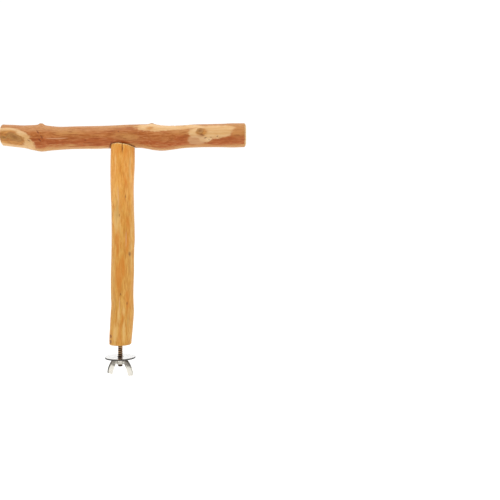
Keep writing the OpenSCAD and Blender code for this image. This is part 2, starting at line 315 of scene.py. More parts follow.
class Branch:
    """A branch: its own curve and thickness, its knots, and the marks and relief of its skin."""

    def __init__(self, thickness, length, form, knots, lobes, marks, bark, seed):
        self.thickness = thickness
        self.length = length
        self.form = np.array(form)
        self.knots = knots
        self.lobes = lobes
        self.mark_table = marks
        self.bark = bark
        self.seed = seed

    def smooth(self, share, column):
        """A column of the form at each share."""
        return smooth_curve(self.form[:, 0], self.form[:, column], share)

    def reach(self, share, angle, row):
        """Steps along and round the branch from a mark's or knot's middle, in thicknesses."""
        step_along = (share - row[0]) * self.length / self.thickness
        turned = angle - math.radians(row[1])
        step_round = ((turned + math.pi) % TURN - math.pi) / 2
        return step_along, step_round

    def plain_radius(self, share, angle):
        """Radius at a place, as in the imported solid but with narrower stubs."""
        out_of_round = (
            self.lobes[0] * np.cos(2 * angle + LOBE_WINDS[0] * share)
            + self.lobes[1] * np.cos(3 * angle + LOBE_WINDS[1] * share)
        )
        radius = self.thickness / 2 * self.smooth(share, 3) * (1 + out_of_round)
        for row in self.knots:
            a, b = self.reach(share, angle, row)
            radius = radius + self.thickness * row[2] * np.exp(-(a * a + b * b) / row[3] ** 2)
        return radius

    def skin_points(self, share, angle):
        """Points on a plain rod of the same size, where noise is looked up: lengthways first."""
        r = self.thickness / 2
        return np.stack([share * self.length, r * np.cos(angle), r * np.sin(angle)], axis=-1)

    def marks(self, share, angle):
        """Each kind of mark as a field from -1 to 1 that is 0 at its edge. A broad one goes by the
        distance from its edge, and a small one is 1 at its middle."""
        skin = self.skin_points(share, angle)
        ragged = RAGGED_COARSE * noise_at(skin, COARSE_PERIOD, self.seed)
        ragged = ragged + RAGGED_FINE * noise_at(skin, FINE_PERIOD, self.seed + 5)
        fields = {}
        for name, table in self.mark_table.items():
            broad = name in BROAD_MARKS
            field = np.full(len(share), -1.0)
            for row in table:
                a, b = self.reach(share, angle, row)
                tilt = math.radians(row[4])
                u = (a * math.cos(tilt) - b * math.sin(tilt)) / row[2]
                v = (a * math.sin(tilt) + b * math.cos(tilt)) / row[3]
                size = min(row[2], row[3]) / MARK_UNIT if broad else 1
                field = np.maximum(field, (1 - np.sqrt(u * u + v * v)) * size)
            fields[name] = np.clip(field + (ragged if broad else RAGGED_SMALL * ragged), -1, 1)
        return fields

    def relief(self, share, angle, marks):
        """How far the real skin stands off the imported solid: swells, flutes, fibres, marks and bark."""
        skin = self.skin_points(share, angle)
        peeled = smooth_step(marks["peel"], *PEEL_FADE)
        off = SWELL_RELIEF * noise_at(skin, SWELL_PERIOD, self.seed + 1)
        off = off + FLUTE_RELIEF * noise_at(skin, FLUTE_PERIOD, self.seed + 2)
        fibre = noise_at(skin, FIBRE_PERIOD, self.seed + 3)
        off = off + FIBRE_RELIEF * fibre * (1 - PEELED_SMOOTH * peeled)
        off = off - PIT_RELIEF * smooth_step(marks["pit"], *PIT_FADE)
        off = off - SCRATCH_RELIEF * smooth_step(marks["scratch"], *SCRATCH_FADE)
        rim = np.exp(-(((marks["eye"] - EYE_RIM) / EYE_RIM_WIDTH) ** 2))
        hollow = smooth_step(marks["eye"], *EYE_HOLLOW_FADE)
        off = off + EYE_RIM_RELIEF * rim - EYE_HOLLOW_RELIEF * hollow
        return off - self.bark * peeled

    def skin(self, make_points, shares, angles, extra_relief=None):
        """Every point of the skin, ring by ring, and its distance from the branch's middle line."""
        share, angle = [g.ravel() for g in np.meshgrid(shares, angles, indexing="ij")]
        off = self.relief(share, angle, self.marks(share, angle))
        if extra_relief is not None:
            off = off + extra_relief(share, angle)
        radius = self.plain_radius(share, angle) + off
        grid = (len(shares), len(angles))
        return make_points(share, angle, radius).reshape(*grid, 3), radius.reshape(grid)


BAR = Branch(
    BAR_D, BAR_LEN, BAR_FORM_SHARES, BAR_KNOT_SHARES, BAR_LOBE_SHARES, BAR_MARK_SHARES,
    bark=BAR_BARK, seed=11,
)
POST = Branch(
    POST_D, SEAT.z, POST_FORM_SHARES, POST_KNOT_SHARES, POST_LOBE_SHARES, POST_MARK_SHARES,
    bark=POST_BARK, seed=47,
)


def object_from(name, data):
    """A new object in the scene for a mesh, light or camera."""
    made = bpy.data.objects.new(name, data)
    bpy.context.scene.collection.objects.link(made)
    return made


def mesh_from(name, points, faces):
    """A mesh of an array of points and a list of faces."""
    mesh = bpy.data.meshes.new(name)
    mesh.from_pydata(points.tolist(), [], faces)
    return mesh


def ring_faces(count, sides, closed=False):
    """The faces between rings of points. Where it is closed, the last ring meets the first."""
    j = np.arange(sides)
    after = (j + 1) % sides
    faces = []
    for i in range(count if closed else count - 1):
        low = i * sides
        high = (i + 1) % count * sides
        faces.extend(np.stack([low + j, low + after, high + after, high + j], axis=1).tolist())
    return faces


def closed_mesh(name, rings):
    """A closed mesh through rings of points, with one point in the middle of each end."""
    count, sides = rings.shape[:2]
    points = np.concatenate([rings.reshape(-1, 3), [rings[0].mean(0)], [rings[-1].mean(0)]])
    j = np.arange(sides)
    after = (j + 1) % sides
    middle = count * sides
    last = middle - sides
    start = np.stack([after, j, np.full(sides, middle)], axis=1)
    end = np.stack([last + j, last + after, np.full(sides, middle + 1)], axis=1)
    return mesh_from(name, points, [*ring_faces(count, sides), *start.tolist(), *end.tolist()])


def lathe(outline, sides):
    """Rings of points round the Z axis, one for each (r, z) of an outline."""
    angles = circle(sides)
    r, z = np.array(outline).T[:, :, None]
    return np.stack([r * np.cos(angles), r * np.sin(angles), z + 0 * angles], axis=-1)


def finish_mesh(mesh, weld=0.0):
    """Welds doubled points, turns the faces outwards and shades the mesh smooth."""
    work = bmesh.new()
    work.from_mesh(mesh)
    if weld:
        bmesh.ops.remove_doubles(work, verts=work.verts, dist=weld)
        bmesh.ops.dissolve_degenerate(work, edges=work.edges, dist=weld)
    bmesh.ops.recalc_face_normals(work, faces=work.faces)
    work.to_mesh(mesh)
    work.free()
    mesh.shade_smooth()
    return mesh


def with_modifiers(made):
    """Replaces an object's mesh by what its modifiers make of it."""
    bpy.context.view_layer.update()
    result = bpy.data.meshes.new_from_object(made.evaluated_get(bpy.context.evaluated_depsgraph_get()))
    made.modifiers.clear()
    made.data = result
    return made


def cut(made, *cutters):
    """Takes the cutters' solids out of an object, and removes the cutters."""
    for cutter in cutters:
        change = made.modifiers.new("cut", "BOOLEAN")
        change.operation = "DIFFERENCE"
        change.solver = "EXACT"
        change.object = cutter
    with_modifiers(made)
    for cutter in cutters:
        bpy.data.objects.remove(cutter)
    return made


def sharpen(made, degrees):
    """Keeps edges crisp where two faces meet at more than this angle."""
    made.data.set_sharp_from_angle(angle=math.radians(degrees))
    return made


def set_field(mesh, name, values, kind="FLOAT", part="value"):
    """Stores a number for each point of a mesh, or a direction, for its material."""
    field = mesh.attributes.new(name, kind, "POINT")
    field.data.foreach_set(part, np.asarray(values, np.float32).ravel())


def points_of(mesh):
    """The points of a mesh as an array."""
    flat = np.zeros(len(mesh.vertices) * 3, np.float32)
    mesh.vertices.foreach_get("co", flat)
    return flat.reshape(-1, 3).astype(float)


def seat_height(x, y):
    """Height of the seat between the post and the bar: it slopes, and rises a little as a saddle."""
    return SEAT.z - (x - SEAT.x) * math.tan(SEAT_TILT) + SEAT_SADDLE * (y / (POST_D / 2)) ** 2


def bar_points(share, angle, radius):
    """Points of the bar at shares, angles and radii."""
    y = BAR_D * BAR.smooth(share, 2) + radius * np.cos(angle)
    z = BAR_HEIGHT + BAR_D * BAR.smooth(share, 1) + radius * np.sin(angle)
    return np.stack([bar_lo.x + BAR_LEN * share, y, z], axis=-1)


def post_points(share, angle, radius):
    """Points of the post at shares, angles and radii, its head leaning with the seat."""
    x = POST_D * POST.smooth(share, 1) + radius * np.cos(angle)
    y = POST_D * POST.smooth(share, 2) + radius * np.sin(angle)
    level = SEAT.z * share
    straight = SEAT.z - POST_D
    lean = np.clip((level - straight) / (SEAT.z - straight), 0, 1)
    return np.stack([x, y, level + lean * (seat_height(x, y) - SEAT.z)], axis=-1)


def end_face(make_points, share, angles, radius, outwards, seed, hole_r=0, saw_axes=(0, 1, 2)):
    """Rings of an end face from near its middle, or its hole, out to a radius, sawn a little rough."""
    rings = []
    for k in range(1, FACE_STEPS + 1):
        part = hole_r + (radius - hole_r) * k / FACE_STEPS
        ring = make_points(np.full(len(angles), share), angles, part)
        grooves = 0.5 - 0.5 * noise_at(ring[:, saw_axes], SAW_PERIOD, seed)
        rings.append(ring - outwards * SAW_RELIEF * grooves[:, None])
    return rings


def rounded_edge(make_points, share, angles, radius, edge, reach, outwards):
    """Rings of the round between an end face and the skin: edge long, and reach towards the middle."""
    rings = []
    for k in range(1, EDGE_STEPS):
        turn = math.pi / 2 * k / EDGE_STEPS
        ring = make_points(np.full(len(angles), share), angles, radius - reach * (1 - math.sin(turn)))
        rings.append(ring - outwards * edge * (1 - math.cos(turn)))
    return rings


def bar_mesh():
    """The whole bar before it is cut for the post."""
    angles = circle(BAR_SIDES)
    shares = np.linspace(LEFT_EDGE / BAR_LEN, 1 - RIGHT_EDGE / BAR_LEN, round(BAR_LEN / RING_STEP))
    skin, radius = BAR.skin(bar_points, shares, angles)
    right = np.array([1.0, 0, 0])
    ends = []
    for share, row, edge, reach, outwards, seed in (
        (0, radius[0], LEFT_EDGE, LEFT_REACH, -right, 3),
        (1, radius[-1], RIGHT_EDGE, RIGHT_REACH, right, 4),
    ):
        face = end_face(bar_points, share, angles, row - reach, outwards, seed)
        ends.append(face + rounded_edge(bar_points, share, angles, row, edge, reach, outwards))
    rings = np.array([*ends[0], *skin, *ends[1][::-1]])
    rings[..., 2] = np.minimum(rings[..., 2], bar_hi.z)
    return finish_mesh(closed_mesh("bar_branch", rings))


def rod(name, low, high, radius, sides=96):
    """A plain upright rod that cuts a hole; high may be a function of x and y."""
    angles = circle(sides)
    rings = []
    for part, level in [(1, low), *[(k / FACE_STEPS, high) for k in range(FACE_STEPS, 0, -1)]]:
        x = part * radius * np.cos(angles) + SEAT.x
        y = part * radius * np.sin(angles)
        z = level(x, y) if callable(level) else np.full(sides, level)
        rings.append(np.stack([x, y, z], axis=-1))
    return object_from(name, finish_mesh(closed_mesh(name, np.array(rings))))


def store_fields(mesh, branch, share, u, v, from_end, edge):
    """Stores a branch's fields on a mesh whose points lie at u, v off its middle line."""
    angle = np.arctan2(v, u) % TURN
    core = np.sqrt(u * u + v * v) / branch.plain_radius(share, angle)
    frayed = noise_at(branch.skin_points(share, angle), FRAY_PERIOD, branch.seed + 9)
    from_end = from_end - FRAY * (FRAY_MEAN + frayed)
    for name, values in branch.marks(share, angle).items():
        set_field(mesh, name, values)
    cut_face = smooth_step((edge * SAWN_PART - from_end) / edge, 0, SAWN_FADE)
    inside = 1 - smooth_step(core, *BARK_START)
    set_field(mesh, "sawn", np.maximum(cut_face, inside))
    set_field(mesh, "core", core)
    # On the bar this is how far the skin faces up, by which its paint places painted light, painted shade
    # and a painted reflection
    set_field(mesh, "lift", np.sin(angle))
    spoke = np.stack([np.cos(angle), np.sin(angle), share], axis=-1)
    set_field(mesh, "spoke", spoke, "FLOAT_VECTOR", "vector")


def bar_fields(mesh):
    """Stores the bar's marks, end faces and growth rings on its final points."""
    x, y, z = points_of(mesh).T
    share = np.clip((x - bar_lo.x) / BAR_LEN, 0, 1)
    off_y = y - BAR_D * BAR.smooth(share, 2)
    off_z = z - BAR_HEIGHT - BAR_D * BAR.smooth(share, 1)
    edge = np.where(share < 0.5, LEFT_EDGE, RIGHT_EDGE)
    store_fields(mesh, BAR, share, off_y, off_z, np.minimum(share, 1 - share) * BAR_LEN, edge)
    # Painted shade, with some dirt, on the bar round the post's seat beside the joint
    beside = np.hypot(x - SEAT.x, y) - SOCKET_R
    above = z - seat_height(x, y)
    set_field(mesh, "joint", 1 - smooth_step(np.maximum(beside, above), 0, JOINT_SHADE))


def post_fields(mesh):
    """Stores the post's marks, end faces and growth rings on its final points."""
    x, y, z = points_of(mesh).T
    top = seat_height(x, y)
    share = np.clip(z / top, 0, 1)
    off_x = x - POST_D * POST.smooth(share, 1)
    off_y = y - POST_D * POST.smooth(share, 2)
    store_fields(mesh, POST, share, off_x, off_y, np.minimum(z, top - z), POST_EDGE)
    set_field(mesh, "low", 1 - share)
    # Painted shade, with some dirt, on the post just below its seat
    set_field(mesh, "joint", 1 - smooth_step(top - z, 0, JOINT_SHADE))


def make_bar():
    """The branch that the bird stands on, with its socket and pilot hole for the post."""
    bar = object_from("bar_branch", bar_mesh())
    socket = rod("socket", SEAT.z - BAR_D, seat_height, SOCKET_R)
    pilot = rod("pilot", SEAT.z - BAR_D, dowel_hi.z, PILOT_R, sides=48)
    cut(bar, socket, pilot)
    bar_fields(bar.data)
    return sharpen(bar, degrees=45)


def post_extra(share, angle):
    """The post's own relief: knife facets, and the drying crack and splits at its ends."""
    off = 0
    for count, turned, part in FACETS:
        lean = turned + FACET_SWAY * np.sin(FACET_WINDS * share + turned)
        off = off + FACET_RELIEF * part * (np.abs(np.cos((angle + lean) * count / 2)) - FACET_MEAN)
    for row in POST_CRACKS:
        a, b = POST.reach(share, angle, row)
        wander = CRACK_WANDER * np.sin(CRACK_WINDS * a + row[1])
        width = row[3] * np.clip(1 - np.abs(a) / row[2], 0, 1)
        off = off - row[4] * MM * np.clip(1 - np.abs(b + wander) / np.maximum(width, 1e-6), 0, 1)
    return off


def post_mesh():
    """The whole post: its skin, both sawn ends and the holes for both screws."""
    fine = [math.radians(row[1]) + step for row in POST_CRACKS for step in CRACK_STEPS]
    angles = np.unique(np.round(np.concatenate([circle(POST_SIDES), fine]) % TURN, 4))
    edge_share = POST_EDGE / SEAT.z
    shares = np.linspace(edge_share, 1 - edge_share, round(SEAT.z / RING_STEP))
    skin, radius = POST.skin(post_points, shares, angles, post_extra)
    up = np.array([0, 0, 1.0])

    def hole(centre, hole_r, rise, slopes=False):
        """A ring in a round hole, at a rise above the foot, or above the seat where it slopes."""
        x = centre[0] + hole_r * np.cos(angles)
        y = centre[1] + hole_r * np.sin(angles)
        level = seat_height(x, y) if slopes else np.zeros(len(angles))
        return np.stack([x, y, level + rise], axis=-1)

    def end(share, row, outwards, seed, hole_r):
        """Rings of a sawn end, from the hole's mouth out to the skin."""
        face = end_face(
            post_points, share, angles, row - POST_EDGE, outwards, seed, hole_r, saw_axes=(2, 0, 1),
        )
        return face + rounded_edge(post_points, share, angles, row, POST_EDGE, POST_EDGE, outwards)

    foot = (0, 0)
    rings = [
        hole(foot, PILOT_R, bolt_hi.z + MOUTH_R),
        hole(foot, PILOT_R, MOUTH_DEPTH),
        hole(foot, MOUTH_R, MOUTH_DEPTH),
        hole(foot, MOUTH_R, 0),
        *end(0.0, radius[0], -up, 7, MOUTH_R),
        *skin,
        *end(1.0, radius[-1], up, 8, PILOT_R)[::-1],
        hole(SEAT, PILOT_R, 0, slopes=True),
        hole(SEAT, PILOT_R, dowel_lo.z - SEAT.z - MOUTH_R, slopes=True),
    ]
    return finish_mesh(closed_mesh("post_branch", np.array(rings)))


def make_post():
    """The upright between the cage and the bar."""
    mesh = post_mesh()
    post_fields(mesh)
    return sharpen(object_from("post_branch", mesh), degrees=50)


# Threads are swept along their helix in this many steps a turn, with this many points a pitch
THREAD_SIDES = 56
THREAD_ROWS = 12
# Where a thread's flank starts and ends, as shares of the way from its crest to its root
THREAD_FLANK = (0.10, 0.78)
# Points nearer than this, in millimetres, are welded
WELD = 1e-4
# A wood thread: how far down that flank it is at its root, and the radius and slope of its point
WOOD_FLANK = 0.8
POINT_R = 0.08
POINT_SLOPE = 1.6


def thread_solid(name, low, high, pitch, radius_at):
    """An upright solid with a right-hand helix on it. radius_at(z, depth) gives its radius, where
    depth runs from 0 on the thread's crest to 1 in its root."""
    rows = math.ceil((high - low) / pitch + 2) * THREAD_ROWS + 1
    i, j = np.meshgrid(np.arange(rows), np.arange(THREAD_SIDES), indexing="ij")
    z = np.clip(low - pitch + (i / THREAD_ROWS + j / THREAD_SIDES) * pitch, low, high)
    phase = (z / pitch - j / THREAD_SIDES) % 1
    r = radius_at(z, smooth_step(np.abs(phase - 0.5) * 2, *THREAD_FLANK))
    angle = j * TURN / THREAD_SIDES
    points = np.stack([r * np.cos(angle), r * np.sin(angle), z], axis=-1).reshape(-1, 3)
    faces = []
    for column in range(THREAD_SIDES):
        wraps = column == THREAD_SIDES - 1
        beside = 0 if wraps else column + 1
        shift = THREAD_ROWS if wraps else 0
        for row in range(rows - 1 - shift):
            a = row * THREAD_SIDES + column
            b = (row + shift) * THREAD_SIDES + beside
            faces.append([a, b, b + THREAD_SIDES, a + THREAD_SIDES])
    middle = len(points)
    points = np.concatenate([points, [[0, 0, low], [0, 0, high]]])
    top = (rows - 1) * THREAD_SIDES
    first = [(0 if c else THREAD_ROWS) * THREAD_SIDES + c for c in range(THREAD_SIDES)]
    last = [top + c for c in range(THREAD_SIDES)]
    last[-1] -= THREAD_ROWS * THREAD_SIDES
    for c in range(THREAD_SIDES):
        d = (c + 1) % THREAD_SIDES
        faces.append([first[d], first[c], middle])
        faces.append([last[c], last[d], middle + 1])
    return finish_mesh(mesh_from(name, points, faces), weld=WELD)


def wood_thread(crest, depth, from_end):
    """Radius of a wood thread with a point at its end."""
    thread = crest - LAG_THREAD_DEPTH * smooth_step(depth, 0.0, WOOD_FLANK)
    return np.minimum(thread, POINT_R + from_end / POINT_SLOPE)


def stud_radius(z, depth):
    """Radius of the hanger bolt: machine thread, plain neck, then wood thread with its point."""
    machine = BOLT_R - STUD_THREAD_DEPTH * depth
    machine = np.minimum(machine, BOLT_R - STUD_CHAMFER + (z - bolt_lo.z / MM))
    wood = wood_thread(BOLT_R, depth, bolt_hi.z / MM - z)
    to_neck = smooth_step(z, NECK_LOW - STUD_PITCH, NECK_LOW)
    to_wood = smooth_step(z, NECK_HIGH, NECK_HIGH + LAG_PITCH / 2)
    return machine * (1 - to_neck) + NECK_R * (to_neck - to_wood) + wood * to_wood


def dowel_radius(z, depth):
    """Radius of the joining screw about its waist at height 0: a wood thread and a point each way."""
    wood = wood_thread(DOWEL_R, depth, np.minimum(DOWEL_HIGH - z, z - DOWEL_LOW))
    threaded = smooth_step(np.abs(z), WAIST_HALF, WAIST_HALF + LAG_PITCH / 2)
    return NECK_R * (1 - threaded) + wood * threaded


def join_meshes(name, meshes):
    """One mesh that holds several closed ones."""
    work = bmesh.new()
    for mesh in meshes:
        work.from_mesh(mesh)
    joined = bpy.data.meshes.new(name)
    work.to_mesh(joined)
    work.free()
    return joined


def place_metal(made, offset=(0, 0, 0)):
    """Brings a piece built in millimetres to metres and to its place in the frame."""
    mesh = made.data
    points = points_of(mesh) * MM + np.array(offset)
    mesh.vertices.foreach_set("co", points.astype(np.float32).ravel())
    mesh.update()
    return made


def grime_field(made, crest, depth):
    """Stores how deep each point lies in a thread, where grime and oil gather."""
    points = points_of(made.data)
    r = np.hypot(points[:, 0], points[:, 1])
    set_field(made.data, "grime", np.clip((crest - r) / depth, 0, 1))


# How far below the post the oil on the stud begins, and where it is darkest
OIL_HIGH = 5.0
OIL_LOW = 9.5


def make_bolt():
    """The hanger bolt: an M4 machine thread below and a wood thread in the post."""
    low, middle, high = bolt_lo.z / MM, (NECK_LOW + NECK_HIGH) / 2, bolt_hi.z / MM
    machine = thread_solid("machine", low, middle, STUD_PITCH, stud_radius)
    wood = thread_solid("wood", middle, high, LAG_PITCH, stud_radius)
    bolt = object_from("threaded_stud", join_meshes("threaded_stud", [machine, wood]))
    finish_mesh(bolt.data, weld=WELD)
    grime_field(bolt, BOLT_R, STUD_THREAD_DEPTH)
    x, y, z = points_of(bolt.data).T
    # Dark bands wound round the stud, at a coarser pitch than its thread
    turns = z / BAND_PITCH - np.arctan2(y, x) / TURN
    set_field(bolt.data, "wind", 0.5 + 0.5 * np.sin(TURN * turns))
    set_field(bolt.data, "oil", smooth_step(-z, OIL_HIGH, OIL_LOW))
    return sharpen(place_metal(bolt), degrees=40)


def make_dowel():
    """The joining screw, hidden in both branches."""
    thread = thread_solid("joining_screw", DOWEL_LOW, DOWEL_HIGH, LAG_PITCH, dowel_radius)
    screw = object_from("joining_screw", thread)
    grime_field(screw, DOWEL_R, LAG_THREAD_DEPTH)
    return sharpen(place_metal(screw, SEAT), degrees=40)


WASHER_SIDES = 180
WASHER_ROLL = 0.32
WASHER_BURR = 0.10
# How far from flat the washer is, and its broad and small waves: share of that, period and seed
WASHER_WAVE = 0.018
WASHER_WAVES = [(0.6, 7, 21), (0.25, 2.5, 22)]
# How finely its outline is divided in an arc, across a face and down the rim
ARC_STEPS = 5
ACROSS_STEPS = 12
DOWN_STEPS = 4


def arc(centre, radius, start, stop):
    """Points of an arc between two angles in degrees, as (r, z) pairs."""
    turns = np.radians(np.linspace(start, stop, ARC_STEPS + 1))
    return [(centre[0] + radius * math.cos(t), centre[1] + radius * math.sin(t)) for t in turns]


def make_washer():
    """The stamped washer: rolled edges above, sheared ones below, and not quite flat."""
    rim = (washer_hi.x - washer_lo.x) / 2 / MM
    hole = WASHER_HOLE_R
    low = WASHER_WAVE
    top = (washer_hi.z - washer_lo.z) / MM - WASHER_WAVE
    roll = WASHER_ROLL
    burr = WASHER_BURR
    across = hole + (rim - hole) * np.arange(2, ACROSS_STEPS - 1) / ACROSS_STEPS
    down = top - roll - (top - low - roll - burr) * np.arange(1, DOWN_STEPS) / DOWN_STEPS
    outline = [
        *arc((hole + roll, top - roll), roll, HALF_TURN, QUARTER),
        *[(r, top) for r in across],
        *arc((rim - roll, top - roll), roll, QUARTER, 0),
        *[(rim, z) for z in down],
        *arc((rim - burr, low + burr), burr, 0, -QUARTER),
        *[(r, low) for r in across[::-1]],
        *arc((hole + burr, low + burr), burr, -QUARTER, -HALF_TURN),
    ]
    points = lathe(outline, WASHER_SIDES).reshape(-1, 3)
    flat = points * np.array([1, 1, 0])
    wave = sum(part * noise_at(flat, period, seed) for part, period, seed in WASHER_WAVES)
    points[:, 2] += WASHER_WAVE * np.clip(wave, -1, 1)
    faces = ring_faces(len(outline), WASHER_SIDES, closed=True)
    washer = object_from("zinc_washer", finish_mesh(mesh_from("zinc_washer", points, faces)))
    r = np.hypot(points[:, 0], points[:, 1])
    # The rim is painted dark: partly bare sheared steel, partly a painted dark reflection
    set_field(washer.data, "edge", smooth_step(r, rim - 1.2 * roll, rim - 0.2 * roll))
    return sharpen(place_metal(washer, (0, 0, washer_lo.z)), degrees=50)


# One wing's middle line from inside the hub to its tip, out from the stud and down from the seat,
# with the wing's half width and half thickness there, all in millimetres
WING_LINE = [
    [1.9, -2.1, 1.75, 1.45], [4.0, -2.45, 2.10, 1.15], [6.1, -3.9, 2.40, 0.90], [7.6, -6.3, 2.55, 0.82],
    [8.75, -8.8, 2.60, 0.80], [9.5, -11.3, 2.60, 0.78], [9.9, -13.8, 2.50, 0.76],
]
WING_SECTIONS = 34
WING_SIDES = 40
WING_SQUARENESS = 3.2
# How far from its tip a wing draws in, how much of that its thickness does, and how thin it may get
WING_TIP_ROUND = 0.7
WING_TIP_THIN = 0.6
WING_THINNEST = 0.1
# How finely the nut is rebuilt as one skin, and how it is smoothed
NUT_VOXEL = 0.17
NUT_SMOOTHING = 5
NUT_SOFTNESS = 0.5
HUB_ROUND = 0.5
COUNTERSINK = 0.35
# Painted shade on the wings: how far sideways and up a shaded rim faces, where the shaded outer edge begins
# across a wing, and how much less of it the right wing has, from its root outwards
RIM_SIDEWAYS = (0.35, 0.9)
RIM_UP = (-0.5, 0.2)
OUTER_SHADED = (0.20, 0.66)
RIGHT_SPARED = 0.7
RIGHT_WING = (NUT_SEAT_R + 2, NUT_SEAT_R + 5)
# How much of the painted shade at the wings' roots is on the hub too
HUB_SHADE = 0.65


def wing_course():
    """One wing's middle line in fine steps: out, down, half width, half thickness and its heading."""
    places = np.linspace(0, 1, len(WING_LINE))
    fine = np.linspace(0, 1, WING_SECTIONS)
    out, down, half_width, half_thick = [smooth_curve(places, c, fine) for c in np.array(WING_LINE).T]
    steps = np.hypot(np.gradient(out), np.gradient(down))
    heading = np.stack([np.gradient(out) / steps, np.gradient(down) / steps], axis=-1)
    return out, down, half_width, half_thick, heading


def across_wing(points):
    """How far across its wing each point lies: -1 at the inner edge and 1 at the outer one."""
    out, down, half_width, _, heading = wing_course()
    off_out = np.abs(points[:, :1]) - out
    off_down = points[:, 2:] - down
    nearest = np.argmin(off_out ** 2 + off_down ** 2, axis=1)
    row = np.arange(len(points))
    across = off_down[row, nearest] * heading[nearest, 0] - off_out[row, nearest] * heading[nearest, 1]
    return across / half_width[nearest]


def wing_rings():
    """Rings of one wing along its middle line: rounded rectangles, drawn in to a blunt tip."""
    out, down, half_width, half_thick, heading = wing_course()
    to_tip = np.concatenate([np.cumsum(np.hypot(np.diff(out), np.diff(down))[::-1])[::-1], [0]])
    angle = circle(WING_SIDES)
    power = 2 / WING_SQUARENESS
    across = np.sign(np.cos(angle)) * np.abs(np.cos(angle)) ** power
    through = np.sign(np.sin(angle)) * np.abs(np.sin(angle)) ** power
    rings = []
    for k in range(WING_SECTIONS):
        left = np.clip(to_tip[k] / WING_TIP_ROUND, 0, 1)
        drawn = WING_TIP_ROUND * (1 - math.sqrt(max(1 - (1 - left) ** 2, 0)))
        w = half_width[k] - drawn
        h = max(half_thick[k] - WING_TIP_THIN * drawn, WING_THINNEST)
        x = out[k] - heading[k][1] * w * across
        z = down[k] + heading[k][0] * w * across
        rings.append(np.stack([x, h * through, z], axis=-1))
    return np.array(rings)


def hub_rings():
    """Rings of the nut's round hub from its seat down, in millimetres."""
    inset = HUB_ROUND / 3
    drop = HUB_ROUND / 4
    return lathe([
        (NUT_SEAT_R - HUB_ROUND, 0), (NUT_SEAT_R - inset, -drop), (NUT_SEAT_R, -HUB_ROUND),
        (NUT_SEAT_R, -2 * HUB_ROUND), (NUT_END_R, -NUT_H + HUB_ROUND), (NUT_END_R - inset, -NUT_H + drop),
        (NUT_END_R - HUB_ROUND, -NUT_H),
    ], WASHER_SIDES)


def turned_by(angle, rise):
    """A turn about the stud's axis and a move along it."""
    return Matrix.Rotation(angle, 4, "Z") @ Matrix.Translation((0, 0, rise))


def make_nut():
    """The cold-formed wing nut: a hub and two wings that grow into each other, with a cut thread."""
    wing = wing_rings()
    other_wing = wing * np.array([-1, -1, 1])
    meshes = [finish_mesh(closed_mesh("part", rings)) for rings in (hub_rings(), wing, other_wing)]
    nut = object_from("zinc_wing_nut", join_meshes("zinc_wing_nut", meshes))
    skin = nut.modifiers.new("skin", "REMESH")
    skin.mode = "VOXEL"
    skin.voxel_size = NUT_VOXEL
    soften = nut.modifiers.new("soften", "SMOOTH")
    soften.iterations = NUT_SMOOTHING
    soften.factor = NUT_SOFTNESS
    with_modifiers(nut)
    crest = BOLT_R + NUT_GAP
    nut_top = nut_hi.z / MM
    nut_low = nut_top - NUT_H

    def bore_radius(z, thread_depth):
        """The nut's thread, opened at both ends by a countersink."""
        plain = crest - (STUD_THREAD_DEPTH - NUT_GAP) * thread_depth
        mouth = crest + COUNTERSINK - np.minimum(np.abs(z - nut_top), np.abs(z - nut_low))
        outside = np.where((z > nut_top) | (z < nut_low), crest + COUNTERSINK, plain)
        return np.maximum(np.maximum(plain, mouth), outside)

    thread = thread_solid("bore", nut_low - 1, nut_top + 1, STUD_PITCH, bore_radius)
    thread.transform(turned_by(-WING_TURN, -nut_top))
    cut(nut, object_from("bore", thread))
    finish_mesh(nut.data)
    nut_fields(nut.data)
    nut.data.transform(turned_by(WING_TURN, nut_top))
    return sharpen(place_metal(nut), degrees=38)


def nut_fields(mesh):
    """Stores where the nut is painted dark, in its own frame: painted shade on the wings' side faces and
    outer edges, a painted contact shadow at the hub's shoulder and painted shade round the wings' roots and
    the hub; and how deep each point lies in its bore, where oil gathers.
    """
    points = points_of(mesh)
    x, y, z = points.T
    normals = np.zeros(len(points) * 3, np.float32)
    mesh.vertex_normals.foreach_get("vector", normals)
    _, normal_y, normal_z = normals.reshape(-1, 3).T
    r = np.hypot(x, y)
    on_wing = smooth_step(r, NUT_SEAT_R, NUT_SEAT_R + 1)
    # Painted shade on the wings' side faces, seen edge-on, and on their outer edges; the right wing keeps
    # less of it
    rim = smooth_step(1 - np.abs(normal_y), *RIM_SIDEWAYS) * smooth_step(normal_z, *RIM_UP)
    outer = smooth_step(across_wing(points), *OUTER_SHADED)
    edge_shade_kept = 1 - RIGHT_SPARED * smooth_step(x, *RIGHT_WING)
    # Painted contact shadow round the hub's shoulder, under the washer
    shoulder = (1 - on_wing) * smooth_step(z, -2 * HUB_ROUND, -0.5 * HUB_ROUND)
    set_field(mesh, "edge", np.maximum(edge_shade_kept * on_wing * np.maximum(rim, outer), shoulder))
    # Painted shade round the wings' roots and on the hub, under the washer
    root_shade = smooth_step(z, -2.0 * NUT_H, -NUT_H) * (HUB_SHADE + (1 - HUB_SHADE) * on_wing)
    set_field(mesh, "root", root_shade)
    set_field(mesh, "grime", smooth_step(BOLT_R + NUT_GAP + COUNTERSINK - r, 0, COUNTERSINK))


